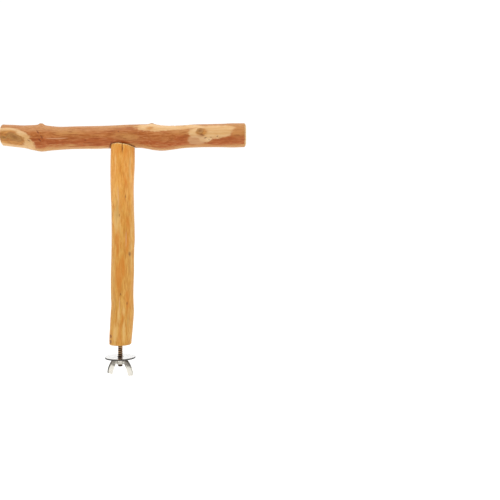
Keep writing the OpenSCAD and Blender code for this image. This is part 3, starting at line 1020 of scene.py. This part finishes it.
class Graph:
    """A node tree built by short calls. Each call returns the socket that carries its result."""

    def __init__(self, tree):
        self.tree = tree

    def feed(self, socket, value):
        """Links a socket to another one, or sets it to a plain value."""
        if isinstance(value, bpy.types.NodeSocket):
            self.tree.links.new(value, socket)
        else:
            socket.default_value = value

    def math(self, operation, a, b=0.0):
        """Two numbers put together."""
        node = self.tree.nodes.new("ShaderNodeMath")
        node.operation = operation
        self.feed(node.inputs[0], a)
        self.feed(node.inputs[1], b)
        return node.outputs[0]

    def add(self, a, b):
        """The sum of two numbers."""
        return self.math("ADD", a, b)

    def times(self, a, b):
        """Two numbers multiplied."""
        return self.math("MULTIPLY", a, b)

    def swing(self, value, size):
        """A value from 0 to 1 as a swing about 0, size wide in all."""
        return self.times(self.math("SUBTRACT", value, 0.5), size)

    def ease(self, value, low, high, to_low=0.0, to_high=1.0):
        """A value carried softly from one range to another and held at its ends."""
        node = self.tree.nodes.new("ShaderNodeMapRange")
        node.interpolation_type = "SMOOTHSTEP"
        self.feed(node.inputs["Value"], value)
        ends = {"From Min": low, "From Max": high, "To Min": to_low, "To Max": to_high}
        for name, number in ends.items():
            node.inputs[name].default_value = number
        return node.outputs["Result"]

    def blend(self, factor, a, b):
        """Number a towards number b."""
        node = self.tree.nodes.new("ShaderNodeMix")
        for socket, value in zip(node.inputs[:1] + node.inputs[2:4], (factor, a, b)):
            self.feed(socket, value)
        return node.outputs[0]


class Paint(Graph):
    """A material. Lengths in its calls are in millimetres, and along is the axis that the grain runs."""

    def __init__(self, name, along="X"):
        self.material = bpy.data.materials.new(name)
        self.material.use_nodes = True
        super().__init__(self.material.node_tree)
        self.shader = self.tree.nodes["Principled BSDF"]
        self.place = self.tree.nodes.new("ShaderNodeTexCoord").outputs["Object"]
        self.along = along

    def field(self, name, output="Fac"):
        """A number that is stored on the mesh's points, or a direction with the output Vector."""
        node = self.tree.nodes.new("ShaderNodeAttribute")
        node.attribute_name = name
        return node.outputs[output]

    def ragged(self, name, torn):
        """A stored field whose edge is torn by a swing."""
        return self.add(self.field(name), torn)

    def noise(self, size, detail=3, roughness=0.5, distortion=0.0, vector=None, shift=0.0):
        """Noise with features of a size: one number, or three along X, Y and Z."""
        sizes = size if isinstance(size, (list, tuple)) else [size] * 3
        unit = MM if vector is None else 1
        place = self.tree.nodes.new("ShaderNodeMapping")
        self.feed(place.inputs["Vector"], self.place if vector is None else vector)
        place.inputs["Scale"].default_value = [1 / (s * unit) for s in sizes]
        place.inputs["Location"].default_value = [shift] * 3
        node = self.tree.nodes.new("ShaderNodeTexNoise")
        self.feed(node.inputs["Vector"], place.outputs["Vector"])
        values = {"Scale": 1, "Detail": detail, "Roughness": roughness, "Distortion": distortion}
        for name, number in values.items():
            node.inputs[name].default_value = number
        return node.outputs[0]

    def grain(self, length, width, **how):
        """Noise drawn out along the branch."""
        sizes = [length, width, width] if self.along == "X" else [width, width, length]
        return self.noise(sizes, **how)

    def mix(self, factor, a, b, how="MIX"):
        """Colour a towards colour b."""
        node = self.tree.nodes.new("ShaderNodeMixRGB")
        node.blend_type = how
        for socket, value in zip(node.inputs, (factor, a, b)):
            self.feed(socket, value)
        return node.outputs[0]

    def layers(self, colour, *rows):
        """A colour under others. Each row is (value, start, full, most, over): its colour begins where
        the value is at start, and covers the most where it is at full."""
        for value, start, full, most, over in rows:
            colour = self.mix(self.ease(value, start, full, 0, most), colour, over)
        return colour

    def ramp(self, value, *stops):
        """Colours along a value, each stop being (place, colour), in rising order."""
        node = self.tree.nodes.new("ShaderNodeValToRGB")
        band = node.color_ramp
        for place, _ in stops[2:]:
            band.elements.new(place)
        for element, (place, colour) in zip(band.elements, stops):
            element.position = place
            element.color = colour
        self.feed(node.inputs[0], value)
        return node.outputs[0]

    def relief(self, *rows):
        """A bumped normal. Each row is (height, distance, strength), where distance is how high a
        height of 1 stands."""
        normal = None
        for height, distance, strength in rows:
            node = self.tree.nodes.new("ShaderNodeBump")
            node.inputs["Strength"].default_value = strength
            node.inputs["Distance"].default_value = distance * MM
            self.feed(node.inputs["Height"], height)
            if normal is not None:
                self.feed(node.inputs["Normal"], normal)
            normal = node.outputs["Normal"]
        return normal

    def finish(self, **inputs):
        """Feeds the shader's own sockets and returns the material."""
        for name, value in inputs.items():
            self.feed(self.shader.inputs[name.replace("_", " ")], value)
        return self.material


def screen(r, g, b):
    """A colour as a screen shows it, 0 to 255, for Blender's linear sockets."""
    colour = Color((r / 255, g / 255, b / 255)).from_srgb_to_scene_linear()
    return (*colour, 1)


# How bright the studio shows a plain white surface that faces the camera
STUDIO_LIGHT = 1.185
# What the gloss on the wood adds to every channel
GLOSS = 0.024
DARKEST = 0.004


def lit(r, g, b):
    """The colour of wood that a screen shows as this one in the studio's light, 0 to 255."""
    return (*[max(channel - GLOSS, DARKEST) / STUDIO_LIGHT for channel in screen(r, g, b)[:3]], 1)


# How fast growth rings follow one another across a branch, how much they warp, and their pace in a knot
RING_RATE = 58
RING_WARP = 0.26
KNOT_RATE = 22


def sawn_wood(paint, light, dark, rim, rim_width):
    """End grain: growth rings round the pith, rays and small cracks, and the saw's streaks."""
    core = paint.field("core")
    spoke = paint.field("spoke", "Vector")
    warp = paint.times(paint.noise(6, detail=2), RING_WARP)
    rings = paint.math("SINE", paint.times(paint.add(core, warp), RING_RATE))
    late = paint.add(rings, paint.swing(paint.noise(2.5), 1.6))
    colour = paint.ramp(paint.ease(late, 0.0, 1.2), (0, light), (1, dark))
    rays = paint.noise(0.06, detail=2, vector=spoke)
    colour = paint.layers(colour, (rays, 0.52, 0.7, 0.45, dark))
    cracks = paint.noise(0.35, detail=1, vector=spoke, shift=3.7)
    thin = paint.ease(paint.math("ABSOLUTE", paint.math("SUBTRACT", cracks, 0.5)), 0.0, 0.02, 0.5, 0)
    thin = paint.times(thin, paint.ease(core, 0.15, 0.5))
    colour = paint.mix(thin, colour, lit(110, 70, 38))
    colour = paint.mix(paint.ease(core, 0.04, 0.12, 0.85, 0), colour, lit(128, 80, 44))
    return paint.layers(
        colour, (core, 1 - rim_width, 1 - rim_width / 2, 1, rim), (paint.noise(0.7), 0.5, 0.75, 0.35, dark),
    )


def paint_knots(paint, colour):
    """Knot eyes with their dark ring and rings of growth, then pits and scratches."""
    eye = paint.ragged("eye", paint.times(paint.noise(1.5), 0.7))
    eye = paint.math("SUBTRACT", eye, 0.2)
    swirl = paint.math("SINE", paint.times(eye, KNOT_RATE))
    heart = paint.layers(
        lit(190, 140, 84),
        (swirl, -1, 1, 0.45, lit(156, 108, 62)),
        (eye, 0.45, 1.0, 0.8, lit(150, 102, 60)),
    )
    colour = paint.layers(colour, (eye, 0.02, 0.45, 0.9, heart))
    edge = paint.times(paint.ease(eye, 0.02, 0.18), paint.ease(eye, 0.4, 0.2))
    colour = paint.mix(paint.times(edge, 0.25), colour, lit(140, 88, 48))
    return paint.layers(
        colour,
        (paint.field("pit"), -0.05, 0.6, 0.70, lit(112, 58, 28)),
        (paint.field("scratch"), -0.05, 0.35, 0.6, lit(232, 180, 136)),
    )


def bar_wood():
    """Inner bark, reddish and fibrous, over pale peeled wood with knots. The bark is paler on top and
    redder below, partly painted light and partly its own tone, with a pale painted reflection along its
    lowest rim and painted shade beside the post's seat.
    """
    paint = Paint("bar_wood", "X")
    broad = paint.grain(38, 9)
    streak = paint.grain(22, 1.2, detail=5, roughness=0.6)
    fibre = paint.grain(4.5, 0.30, detail=4, roughness=0.65)
    blotch = paint.noise([7, 4, 4], detail=4, roughness=0.6)
    strand = paint.grain(7, 0.8, roughness=0.6, shift=6)
    freckle = paint.noise([0.9, 0.4, 0.4], detail=2, shift=9)
    tone = paint.add(paint.times(streak, 0.55), paint.times(broad, 0.45))
    torn = paint.swing(fibre, 0.45)
    # How far the skin faces up, torn a little: where the bark's painted light, shade and reflection fall
    lift = paint.ragged("lift", paint.add(torn, paint.swing(tone, 1.6)))
    bark = paint.ramp(
        tone,
        (0.32, lit(162, 88, 44)), (0.45, lit(180, 106, 56)), (0.56, lit(192, 120, 68)),
        (0.70, lit(206, 142, 90)),
    )
    # Paler bark for the top: painted light from above, partly the bark's own paler tone
    top_light_bark = paint.mix(paint.ease(fibre, 0.36, 0.60), lit(220, 168, 110), lit(184, 126, 72))
    bark = paint.layers(
        bark,
        (blotch, 0.50, 0.70, 0.45, lit(204, 140, 86)),
        (fibre, 0.55, 0.74, 0.50, lit(150, 82, 42)),
        (fibre, 0.46, 0.30, 0.40, lit(214, 154, 102)),
        # Painted shade, partly the bark's own tone: darker, redder bark where the skin faces down
        (lift, -0.15, -0.75, 0.45, lit(172, 88, 40)),
        (paint.field("red"), -0.25, 0.5, 0.60, lit(176, 88, 38)),
        (paint.ragged("tan", torn), -0.45, 0.75, 0.75, lit(206, 148, 88)),
        (freckle, 0.64, 0.74, 0.55, lit(128, 68, 38)),
        (strand, 0.50, 0.64, 0.58, lit(150, 80, 44)),
        (strand, 0.49, 0.35, 0.50, lit(212, 146, 96)),
        # Painted light, partly the bark's own paler tone: paler bark where the skin faces up
        (lift, 0.30, 0.95, 0.72, top_light_bark),
        # Painted reflection: a pale band along the bar's lowest rim
        (lift, -0.62, -0.98, 0.90, lit(212, 162, 104)),
    )
    wood = paint.ramp(
        tone, (0.32, lit(214, 158, 98)), (0.46, lit(227, 181, 124)), (0.62, lit(236, 198, 150)),
    )
    amber_wood = paint.mix(paint.ease(strand, 0.35, 0.65), lit(214, 150, 80), lit(170, 104, 50))
    wood = paint.layers(
        wood,
        (fibre, 0.56, 0.74, 0.40, lit(204, 142, 80)),
        (blotch, 0.55, 0.72, 0.30, lit(220, 154, 90)),
        (strand, 0.50, 0.66, 0.34, lit(212, 158, 98)),
        (paint.ragged("amber", torn), -0.20, 0.40, 0.88, amber_wood),
    )
    grey_wood = paint.mix(streak, lit(206, 156, 108), lit(230, 188, 142))
    colour = paint.layers(
        bark,
        (paint.ragged("peel", torn), -0.22, 0.20, 1, wood),
        (paint.ragged("grey", torn), -0.15, 0.35, 0.65, grey_wood),
        # Painted shade, with some dirt, on the bark beside the post's seat
        (paint.ragged("joint", torn), 0.10, 0.90, 0.60, lit(120, 62, 34)),
    )
    sawn = sawn_wood(paint, lit(232, 196, 142), lit(205, 156, 98), lit(196, 136, 84), 0.05)
    return paint.finish(
        Base_Color=paint.mix(paint.field("sawn"), paint_knots(paint, colour), sawn),
        Roughness=paint.ease(fibre, 0.3, 0.7, 0.42, 0.56),
        Normal=paint.relief((fibre, 0.10, 0.8), (streak, 0.22, 0.5), (blotch, 0.30, 0.35)),
        Specular_IOR_Level=0.26, Sheen_Weight=0.03, Sheen_Roughness=0.35, Sheen_Tint=screen(255, 236, 210),
    )


# How much brighter the wood is towards the post's head, as factors of light
HEAD_GLOW = (1.14, 1.09, 1.16, 1)


def post_wood():
    """Peeled wood, warm orange-yellow, in long streaks with paler scrapes and a few knots."""
    paint = Paint("post_wood", "Z")
    broad = paint.grain(60, 6)
    streak = paint.grain(26, 1.3, detail=5, roughness=0.6)
    fibre = paint.grain(6, 0.30, detail=4, roughness=0.65)
    blotch = paint.noise([2.6, 2.6, 6], detail=4, roughness=0.6)
    fleck = paint.noise([1.5, 1.5, 3.6], detail=4, roughness=0.6, shift=4)
    strand = paint.grain(8, 0.8, roughness=0.6, shift=6)
    low = paint.field("low")
    tone = paint.add(paint.times(streak, 0.5), paint.times(broad, 0.5))
    torn = paint.swing(streak, 1.8)
    wood = paint.ramp(
        tone,
        (0.34, lit(206, 142, 62)), (0.44, lit(218, 156, 74)), (0.53, lit(226, 168, 86)),
        (0.66, lit(234, 188, 112)),
    )
    wood = paint.layers(
        wood,
        (blotch, 0.48, 0.66, 0.55, lit(218, 142, 62)),
        (blotch, 0.46, 0.32, 0.40, lit(232, 178, 98)),
        (fleck, 0.55, 0.70, 0.50, lit(206, 160, 92)),
        (fleck, 0.43, 0.30, 0.40, lit(208, 134, 58)),
        (low, 0.30, 0.80, 0.40, lit(198, 146, 70)),
        (fibre, 0.54, 0.72, 0.45, lit(190, 120, 52)),
        (fibre, 0.44, 0.28, 0.40, lit(240, 192, 120)),
        (strand, 0.50, 0.64, 0.58, lit(196, 122, 54)),
        (strand, 0.49, 0.35, 0.52, lit(242, 186, 104)),
        (paint.ragged("amber", torn), -0.15, 0.50, 0.60, lit(214, 130, 52)),
        (paint.ragged("peel", torn), -0.15, 0.50, 0.70, lit(234, 192, 122)),
        (paint.ragged("grey", torn), -0.15, 0.50, 0.55, lit(200, 156, 90)),
        (paint.ragged("red", torn), -0.15, 0.50, 0.45, lit(208, 130, 64)),
    )
    wood = paint.mix(paint.ease(low, 0.38, 0.14), wood, HEAD_GLOW, "MULTIPLY")
    # Painted shade with dark specks of dirt on the post just below the bar
    speck = paint.swing(paint.noise([0.9, 0.9, 1.4], shift=2), 2.4)
    wood = paint.layers(wood, (paint.ragged("joint", speck), 0.50, 1.05, 0.60, lit(150, 88, 44)))
    rim = paint.mix(low, lit(240, 200, 140), lit(214, 162, 90))
    sawn = sawn_wood(paint, lit(236, 194, 128), lit(212, 160, 92), rim, 0.08)
    return paint.finish(
        Base_Color=paint.mix(paint.field("sawn"), paint_knots(paint, wood), sawn),
        Roughness=paint.ease(fibre, 0.35, 0.7, 0.44, 0.58),
        Normal=paint.relief((fibre, 0.08, 0.8), (streak, 0.20, 0.5), (blotch, 0.22, 0.3)),
        Specular_IOR_Level=0.26, Sheen_Weight=0.02, Sheen_Roughness=0.35, Sheen_Tint=screen(255, 240, 214),
    )


def zinc(name, tint, rough, grit):
    """Bright zinc plate: fine scratches, a faint mottle and dark edges, which are painted shade on the nut
    and, on the washer's rim, partly bare sheared steel and partly a painted dark reflection. Returns what
    its own materials
    finish: the paint, the shade, the roughness and the relief."""
    paint = Paint(name)
    mottle = paint.noise(2.2, detail=4, roughness=0.6)
    scuffs = paint.noise([3.0, 0.12, 0.12], distortion=1.5)
    shade = paint.layers(
        tint,
        (mottle, 0.42, 0.70, 0.35, screen(196, 195, 190)),
        (scuffs, 0.60, 0.72, 0.30, screen(166, 164, 158)),
        # Dark edges: painted shade on the nut; on the washer's rim partly bare sheared steel and partly a
        # painted dark reflection
        (paint.ragged("edge", paint.swing(mottle, 0.9)), 0.30, 0.80, 0.95, screen(50, 46, 42)),
    )
    roughness = paint.add(
        paint.ease(mottle, 0.35, 0.75, rough, rough + 0.14), paint.ease(scuffs, 0.6, 0.75, 0, 0.15),
    )
    return paint, shade, roughness, paint.relief((paint.noise(0.25), grit, 0.5), (scuffs, 0.02, 0.5))


def washer_zinc():
    """The washer's plate."""
    paint, shade, roughness, relief = zinc("washer_zinc", screen(240, 239, 237), 0.16, 0.012)
    return paint.finish(Base_Color=shade, Metallic=1.0, Roughness=roughness, Normal=relief)


def nut_zinc():
    """The nut's plate, a little duller, with oil left in its thread and painted shade round its hub and the
    wings' roots.
    """
    paint, shade, roughness, relief = zinc("nut_zinc", screen(214, 210, 200), 0.20, 0.03)
    # Where the painted shade round the wings' roots and the hub falls, torn by noise
    root_shade_mask = paint.ragged("root", paint.swing(paint.noise(1.3), 1.6))
    shade = paint.layers(
        shade,
        # Painted shade round the wings' roots and the hub
        (root_shade_mask, 0.35, 0.95, 0.85, screen(92, 86, 78)),
        (paint.field("grime"), 0.85, 1.0, 0.8, screen(82, 68, 54)),
    )
    return paint.finish(Base_Color=shade, Metallic=1.0, Roughness=roughness, Normal=relief)


def stud_steel():
    """The stud: tarnished plate, brown with oil, darker in its thread's roots, with dark bands wound round
    it at a coarser pitch than its thread.
    """
    paint = Paint("stud_steel")
    mottle = paint.noise(1.4, detail=4, roughness=0.6)
    # Darker in the thread's roots, in the wound bands and towards the washer
    darkening = paint.add(paint.times(paint.field("grime"), 0.35), paint.times(paint.field("wind"), 0.85))
    darkening = paint.add(darkening, paint.times(paint.field("oil"), 0.40))
    grime = paint.ease(paint.add(darkening, paint.times(mottle, 0.3)), 0.40, 1.10)
    return paint.finish(
        Base_Color=paint.mix(grime, screen(212, 174, 130), screen(46, 27, 19)),
        Metallic=paint.ease(grime, 0.1, 0.9, 0.9, 0.2),
        Roughness=paint.ease(grime, 0, 1, 0.34, 0.62),
        Normal=paint.relief((paint.noise(0.2), 0.02, 0.6)),
    )


def screw_steel():
    """The joining screw: plain rolled steel with drawing oil on it."""
    paint = Paint("screw_steel")
    mottle = paint.noise(1.6, detail=4, roughness=0.6)
    grime = paint.ease(paint.ragged("grime", paint.times(mottle, 0.5)), 0.4, 1.1)
    return paint.finish(
        Base_Color=paint.mix(grime, screen(190, 186, 178), screen(120, 108, 94)),
        Metallic=1.0,
        Roughness=paint.ease(mottle, 0.3, 0.7, 0.28, 0.45),
        Normal=paint.relief((paint.noise(0.2), 0.02, 0.6)),
    )


# The studio
FLOOR_R = 3.0
FLOOR_DROP = 30 * MM
FLOOR_SIDES = 96
FLOOR_RINGS = (0.02, 0.1, 0.3, 0.6, 1.0)


def make_floor():
    """A wide pale floor, slightly uneven in tone, just below the lowest place that the nut reaches."""
    slide = next(j for j in frame["joints"] if j["name"] == "washer_slide")
    height = nut_lo.z + slide["range_m"][0] - FLOOR_DROP
    rings = lathe([(FLOOR_R * part, height) for part in FLOOR_RINGS], FLOOR_SIDES)
    faces = [list(range(FLOOR_SIDES)), *ring_faces(len(rings), FLOOR_SIDES)]
    mesh = mesh_from("studio_floor", rings.reshape(-1, 3), [face[::-1] for face in faces])
    floor = object_from("studio_floor", finish_mesh(mesh))
    paint = Paint("pale_floor")
    tone = paint.mix(paint.noise(60, detail=2), screen(250, 250, 249), screen(247, 247, 246))
    floor.data.materials.append(paint.finish(Base_Color=tone, Roughness=0.9))


# How bright the studio is, as light: overhead, behind, at both sides of the camera and behind it
LIGHT_TOP = 1.60
LIGHT_BACK = 1.05
LIGHT_SIDE = 0.75
LIGHT_FRONT = 0.45
# Where those parts of the tent begin and are full, as shares of its radius
BESIDE = (0.25, 0.65)
BEHIND = (-0.55, 0.05)
OVERHEAD = (0.62, 0.90)
# The backdrop as the camera sees it
BACKDROP = 1.05
# Two soft lights: where each stands, how wide it is and its power
LIGHTS = {"key": ((-0.35, -0.35, 0.95), 0.8, 3.2), "fill": ((0.9, -0.7, 0.45), 0.7, 1.4)}


def make_world():
    """A white backdrop to the camera. As light it is a tent: bright above and behind, with dark
    round the camera, which is what the metal shows in its front edges."""
    world = bpy.data.worlds.new("studio")
    bpy.context.scene.world = world
    world.use_nodes = True
    tent = Graph(world.node_tree)
    new = tent.tree.nodes.new
    tent.tree.nodes.clear()
    apart = new("ShaderNodeSeparateXYZ")
    tent.feed(apart.inputs[0], new("ShaderNodeTexCoord").outputs["Generated"])
    x, y, z = apart.outputs
    front = tent.blend(tent.ease(tent.math("ABSOLUTE", x), *BESIDE), LIGHT_FRONT, LIGHT_SIDE)
    around = tent.blend(tent.ease(y, *BEHIND), front, LIGHT_BACK)
    strength = tent.blend(tent.ease(z, *OVERHEAD), around, LIGHT_TOP)
    pick = new("ShaderNodeMixShader")
    tent.feed(pick.inputs[0], new("ShaderNodeLightPath").outputs["Is Camera Ray"])
    for socket, value in zip(pick.inputs[1:], (strength, BACKDROP)):
        background = new("ShaderNodeBackground")
        background.inputs["Color"].default_value = (1, 1, 1, 1)
        tent.feed(background.inputs["Strength"], value)
        tent.feed(socket, background.outputs[0])
    tent.feed(new("ShaderNodeOutputWorld").inputs[0], pick.outputs[0])


def stand(name, data, place, heading):
    """A light or camera at a place, looking along a heading with its top up."""
    made = object_from(name, data)
    made.location = place
    made.rotation_mode = "QUATERNION"
    made.rotation_quaternion = Vector(heading).to_track_quat("-Z", "Y")
    return made


def area_light(name, place, size, power):
    """A soft square light that faces the middle of the perch."""
    data = bpy.data.lights.new(name, "AREA")
    data.size = size
    data.energy = power
    heading = Vector((0.0, 0.0, BAR_HEIGHT / 2)) - Vector(place)
    stand(name, data, place, heading).visible_camera = False


# The camera stands right of the perch and looks level along +Y, so upright edges stay parallel. The
# shift, in picture widths, is what the photograph's framing needs: its middle is lower than the camera.
LENS = 50
SENSOR = 36
CAMERA_PLACE = (106.4 * MM, -569.5 * MM, 107.4 * MM)
CAMERA_SHIFT = -0.0736


def make_camera():
    """The camera of the photograph."""
    data = bpy.data.cameras.new("camera")
    data.lens = LENS
    data.sensor_width = SENSOR
    data.shift_y = CAMERA_SHIFT
    bpy.context.scene.camera = stand("camera", data, CAMERA_PLACE, (0, 1, 0))


def dress(piece, body, node, material):
    """Gives a piece its material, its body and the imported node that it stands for."""
    piece.data.materials.clear()
    piece.data.materials.append(material)
    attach(piece, body)
    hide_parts(node)


make_camera()
bpy.context.scene.view_settings.view_transform = "Standard"
make_world()
make_floor()
for light, (spot, width, watts) in LIGHTS.items():
    area_light(light, spot, width, watts)

dress(make_bar(), "perch", "perch_bar", bar_wood())
dress(make_post(), "perch", "post", post_wood())
dress(make_dowel(), "perch", "dowel_screw", screw_steel())
dress(make_bolt(), "perch", "hanger_bolt", stud_steel())
dress(make_washer(), "washer", "clamp_washer", washer_zinc())
dress(make_nut(), "nut", "wing_nut", nut_zinc())
